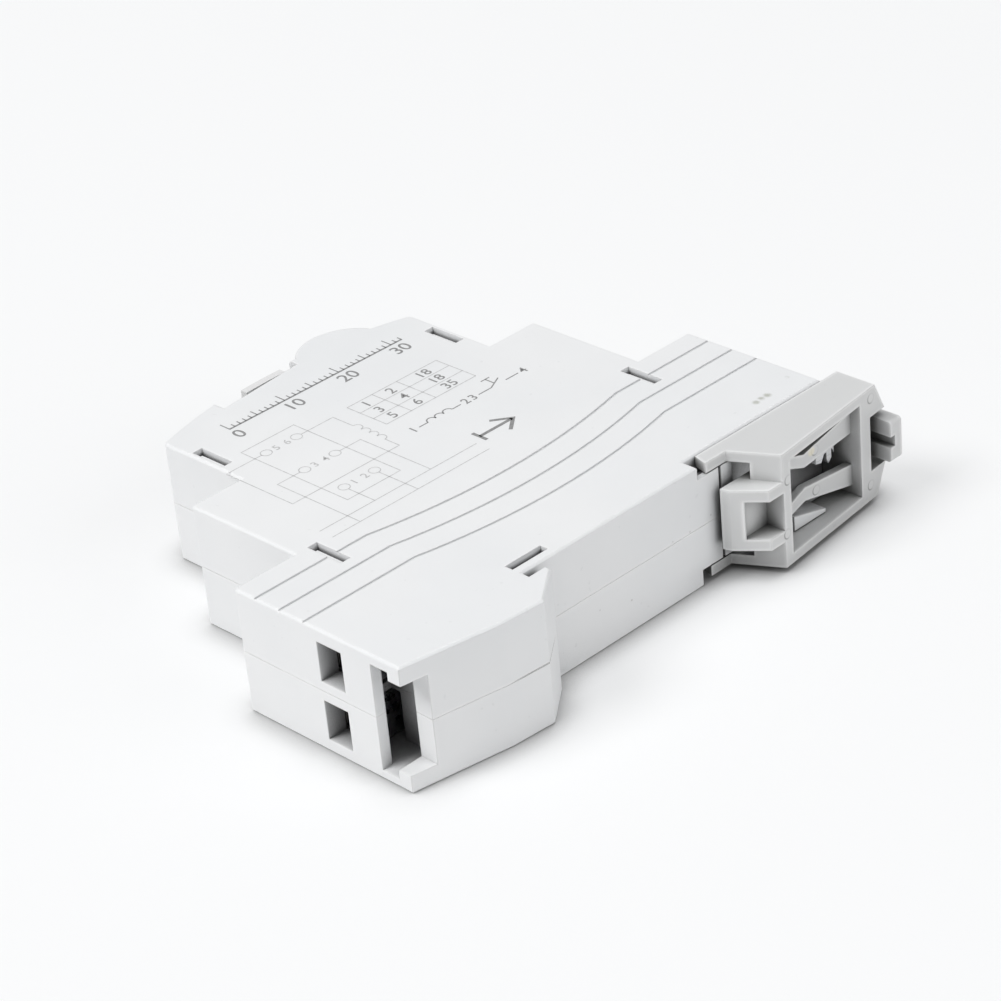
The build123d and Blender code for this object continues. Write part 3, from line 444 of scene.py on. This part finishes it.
finishes = {
    "shell_plastic": shell_plastic(),
    "clip_plastic": clip_plastic(),
    "clear_plastic": clear_plastic(),
    "fascia_plastic": moulded_plastic(
        "fascia_plastic", grey(0.50, -0.01), grey(0.46, -0.01), roughness=0.5
    ),
    "display_glass": display_glass(),
    "board": solder_mask(),
    "chip": chip_epoxy(),
    "copper_alloy": plated_metal(
        "copper_alloy", (0.45, 0.44, 0.42, 1.0), (0.34, 0.33, 0.31, 1.0), 0.42
    ),
    "plated_steel": plated_metal(
        "plated_steel", (0.62, 0.63, 0.64, 1.0), (0.50, 0.51, 0.53, 1.0), 0.32
    ),
    "can_aluminium": plated_metal(
        "can_aluminium", (0.70, 0.71, 0.72, 1.0), (0.62, 0.63, 0.64, 1.0), 0.36
    ),
    "capacitor_sleeve": coated(
        "capacitor_sleeve", (0.02, 0.025, 0.07, 1.0), (0.03, 0.035, 0.09, 1.0), 0.3
    ),
    "ferrite": moulded_plastic("ferrite", grey(0.05), grey(0.07), roughness=0.6),
    "copper_wire": wound_wire(),
    "film_case": coated("film_case", (0.75, 0.50, 0.05, 1.0), (0.68, 0.44, 0.05, 1.0), 0.3),
    "varistor_coat": coated(
        "varistor_coat", (0.02, 0.06, 0.30, 1.0), (0.03, 0.08, 0.36, 1.0), 0.35
    ),
    "resistor_coat": coated(
        "resistor_coat", (0.10, 0.22, 0.18, 1.0), (0.13, 0.26, 0.21, 1.0), 0.5
    ),
    "button_plastic": moulded_plastic(
        "button_plastic", grey(0.06), grey(0.075), roughness=0.45
    ),
    "lamp": lamp_resin(),
}

for subpart in frame["record"]["subparts"]:
    node = frame["nodes"][subpart["node"]]
    node.data.materials.clear()
    node.data.materials.append(finishes[subpart["material_slot"]].material)


# Print, millimetres: how far it lies above its face, the widths of its lines, the heights of its
# numbers, and its two inks
print_lift = 0.012
print_height = side_face + print_lift
fine_line, clear_line, bold_line, arrow_line = 0.14, 0.2, 0.34, 0.55
gauge_number, plan_number, table_number, sign_number = 2.2, 1.3, 1.7, 1.5
pale_ink = printing_ink("pale_ink", 0.50)
dark_ink = printing_ink("dark_ink", 0.25)

# Share of a text's size that its numbers stand high, and the share by which their strokes swell
number_share = 0.7
stroke_swell = 0.012

# Digits of the display, millimetres; the display is read with the height running to the left
display_face = (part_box("display")[1][1] - rail_y) / MM + print_lift
digit_left, digit_pitch = 2.9, 2.7
digit_width, digit_half, digit_foot = 1.9, 2.0, 7.0
bar_half, bar_gap = 0.16, 0.1

# Bars of a seven-stroke digit, each from one of its corners to another, and the bars each digit has
digit_bars = {
    "a": ((0, 2), (1, 2)),
    "b": ((1, 2), (1, 1)),
    "c": ((1, 1), (1, 0)),
    "d": ((0, 0), (1, 0)),
    "e": ((0, 1), (0, 0)),
    "f": ((0, 2), (0, 1)),
    "g": ((0, 1), (1, 1)),
}
digit_strokes = {"0": "abcdef", "1": "bc", "8": "abcdefg"}


def make_piece(name, points, faces, finish, body):
    """New mesh at the origin from points in rail coordinates and faces, riding on a body."""
    points = points * MM + np.array((rail_x, rail_y, 0.0))
    mesh = bpy.data.meshes.new(name)
    mesh.from_pydata(points.tolist(), [], [tuple(face) for face in faces])
    mesh.materials.append(finish.material)
    mesh.update()
    piece = bpy.data.objects.new(name, mesh)
    bpy.context.scene.collection.objects.link(piece)
    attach(piece, body)


def print_piece(name, flat, faces, finish):
    """New piece on the upper side face, from heights and depths."""
    points = np.column_stack([flat, np.full(len(flat), print_height)])
    make_piece(name, points, faces, finish, "housing")


def ribbon(path, width):
    """Flat ribbon along a path: each point steps half a width to both sides, along the mean of the
    normals of the runs that meet there, drawn out by one over the cosine of half their turn."""
    path = np.asarray(path, float)
    runs = np.diff(path, axis=0)
    runs /= np.linalg.norm(runs, axis=1)[:, None]
    normals = np.stack([-runs[:, 1], runs[:, 0]], axis=1)
    before = np.vstack([normals[:1], normals])
    after = np.vstack([normals, normals[-1:]])
    if np.allclose(path[0], path[-1]):
        before[0], after[-1] = normals[-1], normals[0]
    mean = before + after
    mean /= np.linalg.norm(mean, axis=1)[:, None]
    mean /= (mean * after).sum(axis=1)[:, None]
    step = mean * width / 2
    return np.vstack([path - step, path + step])


def arc(centre, radius, start, end, count):
    """Points round a centre, from one angle to another in degrees, evenly spaced."""
    angles = np.radians(np.linspace(start, end, count))
    return np.array(centre) + radius * np.stack([np.cos(angles), np.sin(angles)], axis=1)


def print_lines(name, paths, width, finish):
    """One piece of many ribbons; a quad joins each two steps of a ribbon."""
    sheets, quads, start = [], [], 0
    for path in paths:
        sheet = ribbon(path, width)
        half = len(sheet) // 2
        first = np.arange(half - 1) + start
        quads.append(np.stack([first, first + 1, first + half + 1, first + half], axis=1))
        sheets.append(sheet)
        start += len(sheet)
    print_piece(name, np.vstack(sheets), np.vstack(quads), finish)


def print_numbers(name, height, rows, finish):
    """One piece of plain numbers of one height: each is set as text, made a mesh, and laid with
    its foot's middle at its place; its corners and faces join those of the numbers before it."""
    sheets, faces, start = [], [], 0
    for text, u, v in rows:
        curve = bpy.data.curves.new("number", "FONT")
        curve.body = text
        curve.align_x = "CENTER"
        curve.size = height / number_share
        curve.offset = stroke_swell * height
        letters = bpy.data.objects.new("number", curve)
        mesh = bpy.data.meshes.new_from_object(letters)
        flat = np.zeros(len(mesh.vertices) * 3)
        mesh.vertices.foreach_get("co", flat)
        sheets.append(flat.reshape(-1, 3)[:, :2] + np.array((u, v)))
        corners = np.zeros(len(mesh.loops), np.int32)
        mesh.loops.foreach_get("vertex_index", corners)
        sizes = np.zeros(len(mesh.polygons), np.int32)
        mesh.polygons.foreach_get("loop_total", sizes)
        faces += np.split(corners + start, np.cumsum(sizes)[:-1])
        start += len(mesh.vertices)
        bpy.data.objects.remove(letters)
        bpy.data.curves.remove(curve)
        bpy.data.meshes.remove(mesh)
    print_piece(name, np.vstack(sheets), faces, finish)


def digit_outline(u, digit):
    """Six-cornered bars of one digit on the display: each bar runs between two corners of the
    digit, drawn in by a gap, and is pointed at both ends."""
    bars = []
    for stroke in digit_strokes[digit]:
        ends = np.array(digit_bars[stroke]) * (-digit_width, digit_half) + (u, digit_foot)
        start, end = ends
        along = (end - start) / np.linalg.norm(end - start)
        side = np.array((-along[1], along[0])) * bar_half
        start, end, tip = start + along * bar_gap, end - along * bar_gap, along * bar_half
        bars.append(
            [start, start + tip + side, end - tip + side, end, end - tip - side, start + tip - side]
        )
    return np.array(bars)


def display_numbers(text):
    """Plain number on the display, of seven-stroke digits: the corners of all bars in one array."""
    digits = [
        digit_outline(digit_left - digit_pitch * place, digit) for place, digit in enumerate(text)
    ]
    flat = np.vstack(digits).reshape(-1, 2)
    points = np.column_stack([flat[:, 0], np.full(len(flat), display_face), flat[:, 1]])
    faces = np.arange(len(flat)).reshape(-1, 6)
    make_piece(
        "display_numbers", points, faces, finishes["chip"], "housing"
    )


display_numbers("0018")

# Ruler for the stripped length of a wire, along the nose: a tick each millimetre, longer at each
# fifth, longest at each tenth
gauge_left, gauge_base, gauge_length, gauge_end = -15.0, 57.6, 32, 0.06
gauge_drop = 3.0
marks = np.arange(gauge_length + 1)
mark_lengths = np.where(marks % 10 == 0, 2.0, np.where(marks % 5 == 0, 1.5, 0.9))
gauge_ticks = [
    [(gauge_left + mark, gauge_base), (gauge_left + mark, gauge_base + length)]
    for mark, length in zip(marks, mark_lengths)
]
gauge_foot = [
    (gauge_left - gauge_end, gauge_base),
    (gauge_left + gauge_length + gauge_end, gauge_base),
]
print_lines("gauge_ticks", gauge_ticks, clear_line, dark_ink)
print_lines("gauge_foot", [gauge_foot], bold_line, dark_ink)
print_numbers(
    "gauge_numbers",
    gauge_number,
    [(str(mark), gauge_left + mark, gauge_base - gauge_drop) for mark in (0, 10, 20, 30)],
    dark_ink,
)

# Plan of the six terminals: a tall box, a ring at each terminal in two columns and three rows, two
# supply lines, the leads between them, and a coil between the leads on the right
box_left, box_right, box_foot, box_head = -18.4, -9.0, 30.6, 51.4
left_column, right_column = -16.4, -11.0
low_row, middle_row, high_row = 33.4, 41.0, 48.6
supply_start, supply_end = -26.0, 2.0
supply_high, supply_low = 27.6, 25.2
lead_inner, lead_left, lead_outer, lead_turn = -6.4, -21.2, -23.4, 35.6
coil_column, coil_head, coil_foot = -4.4, 44.6, 38.4
coil_first, coil_pitch = 43.8, 1.55
ring_radius = 0.8
number_gap = 1.75
rings = {
    "1": (left_column, low_row),
    "2": (right_column, low_row),
    "3": (left_column, middle_row),
    "4": (right_column, middle_row),
    "5": (left_column, high_row),
    "6": (right_column, high_row),
}
plan_lines = [
    [
        (box_left, box_foot),
        (box_right, box_foot),
        (box_right, box_head),
        (box_left, box_head),
        (box_left, box_foot),
    ],
    [(supply_start, supply_high), (supply_end, supply_high)],
    [(supply_start, supply_low), (supply_end, supply_low)],
    [(left_column, low_row - ring_radius), (left_column, supply_high)],
    [(right_column, low_row - ring_radius), (right_column, supply_low)],
    [
        (right_column + ring_radius, middle_row),
        (lead_inner, middle_row),
        (lead_inner, supply_high),
    ],
    [
        (left_column - ring_radius, middle_row),
        (lead_left, middle_row),
        (lead_left, supply_low),
    ],
    [(right_column + ring_radius, high_row), (coil_column, high_row), (coil_column, coil_head)],
    [
        (left_column - ring_radius, high_row),
        (lead_outer, high_row),
        (lead_outer, lead_turn),
        (coil_column, lead_turn),
        (coil_column, coil_foot),
    ],
]
plan_lines += [arc(place, ring_radius, 0, 360, 33) for place in rings.values()]
plan_lines += [
    arc((coil_column, coil_first - coil_pitch * turn), coil_pitch / 2, 90, -90, 16)
    for turn in range(4)
]
print_lines("plan_lines", plan_lines, fine_line, pale_ink)
inward = {left_column: number_gap, right_column: -number_gap}
print_numbers(
    "plan_numbers",
    plan_number,
    [(number, u + inward[u], v - plan_number / 2) for number, (u, v) in rings.items()],
    pale_ink,
)

# Table of the terminals' pairs
table_columns = (-1.4, 3.2, 7.8, 15.4)
table_foot, row_height = 41.2, 2.6
table_texts = (("5", "6", "35"), ("3", "4", "18"), ("1", "2", "18"))
table_levels = [table_foot + row * row_height for row in range(len(table_texts) + 1)]
table_middles = [
    (left + right) / 2 for left, right in zip(table_columns, table_columns[1:])
]
table_lines = [[(table_columns[0], v), (table_columns[-1], v)] for v in table_levels]
table_lines += [[(u, table_foot), (u, table_levels[-1])] for u in table_columns]
print_lines("table_lines", table_lines, fine_line, pale_ink)
print_numbers(
    "table_numbers",
    table_number,
    [
        (text, u, foot + (row_height - table_number) / 2)
        for texts, foot in zip(table_texts, table_levels)
        for text, u in zip(texts, table_middles)
    ],
    dark_ink,
)

# Two signs in a row, a coil and a push contact, and an arrow below them
sign_row, sign_drop = 37.0, 0.6
sign_first, sign_pitch = 3.0, 1.5
coil = [
    arc((sign_first + sign_pitch * turn, sign_row), sign_pitch / 2, 180, 0, 16)
    for turn in range(3)
]
coil += [[(0.6, sign_row), (2.25, sign_row)], [(6.75, sign_row), (8.4, sign_row)]]
contact = [
    [(11.8, sign_row), (14.2, sign_row)],
    [(14.2, sign_row), (16.8, 38.3)],
    [(17.0, sign_row), (19.4, sign_row)],
    [(15.4, 37.7), (15.4, 39.4)],
    [(14.6, 39.4), (16.2, 39.4)],
]
print_lines("sign_lines", coil + contact, clear_line, dark_ink)
arrow = [
    [(3.6, 28.6), (9.7, 28.6)],
    [(7.4, 30.6), (9.9, 28.6), (7.4, 26.6)],
    [(3.6, 27.2), (3.6, 30.0)],
]
print_lines("arrow", arrow, arrow_line, dark_ink)
sign_ends = {"1": -0.4, "2": 9.4, "3": 10.8, "4": 20.4}
print_numbers(
    "sign_numbers",
    sign_number,
    [(number, u, sign_row - sign_drop) for number, u in sign_ends.items()],
    dark_ink,
)


# The studio: a pale floor that takes the object's shadow, soft light and the camera. Camera rays
# see the floor half as pale as light does, with a glow that fades close to the object into a painted
# contact shadow.
floor_half = 3.0
shadow_reach = 5 * MM
floor_finish = Finish("floor", roughness=0.9)
floor_clouds = floor_finish.noise(3.0).ramp(0.3, 0.7)
floor_finish.paint(floor_finish.mix(floor_clouds, grey(0.90), grey(0.91)))
seen = floor_finish.node("ShaderNodeLightPath", {}, {}, output="Is Camera Ray")
floor_finish.stain(seen * 0.5, grey(0.0))
# Painted contact shadow: the glow fades where the object is close
glow_share = seen * floor_finish.open_share(shadow_reach).ramp(0.3, 1.0)
glow = floor_finish.mix(glow_share, grey(0.0), (0.46, 0.465, 0.47, 1.0))
floor_finish.feed("Emission Color", glow)
floor_finish.feed("Emission Strength", 1.0)
floor_mesh = bpy.data.meshes.new("floor")
floor_mesh.from_pydata(
    [(x * floor_half, y * floor_half, 0.0) for x, y in ((-1, -1), (1, -1), (1, 1), (-1, 1))],
    [],
    [(0, 1, 2, 3)],
)
floor_mesh.materials.append(floor_finish.material)
floor = bpy.data.objects.new("floor", floor_mesh)
bpy.context.scene.collection.objects.link(floor)

world = bpy.data.worlds.new("studio")
bpy.context.scene.world = world
world.use_nodes = True
background = world.node_tree.nodes["Background"]
background.inputs["Color"].default_value = (0.98, 0.99, 1.0, 1.0)
background.inputs["Strength"].default_value = 0.30

# Square lamps that face the object: place and side in metres, power in watts
lamps = {
    "key": ((-1.5, 0.55, 1.9), 1.0, 35.0),
    "fill": ((0.6, -1.6, 1.0), 1.2, 8.8),
    "top": ((0.1, 0.1, 2.4), 1.6, 16.5),
}
for name, (place, side, power) in lamps.items():
    lamp = bpy.data.lights.new(name, "AREA")
    lamp.shape = "SQUARE"
    lamp.size = side
    lamp.energy = power
    light = bpy.data.objects.new(name, lamp)
    light.location = place
    light.rotation_euler = (-Vector(place)).to_track_quat("-Z", "Y").to_euler()
    bpy.context.scene.collection.objects.link(light)

right, down, ahead = (Vector(axis) for axis in (camera_right, camera_down, camera_ahead))
camera_turn = Matrix((right, -down, -ahead)).transposed().to_4x4()
lens = bpy.data.cameras.new("photo_camera")
lens.sensor_width = sensor_width
lens.lens = focal_pixels / picture_pixels * sensor_width
lens.shift_x = (picture_pixels / 2 - centre_pixels[0]) / picture_pixels
lens.shift_y = (centre_pixels[1] - picture_pixels / 2) / picture_pixels
lens.clip_start = 0.01
camera = bpy.data.objects.new("photo_camera", lens)
camera.matrix_world = Matrix.Translation(at(*camera_place)) @ camera_turn
bpy.context.scene.collection.objects.link(camera)
bpy.context.scene.camera = camera
bpy.context.scene.view_settings.view_transform = "Standard"
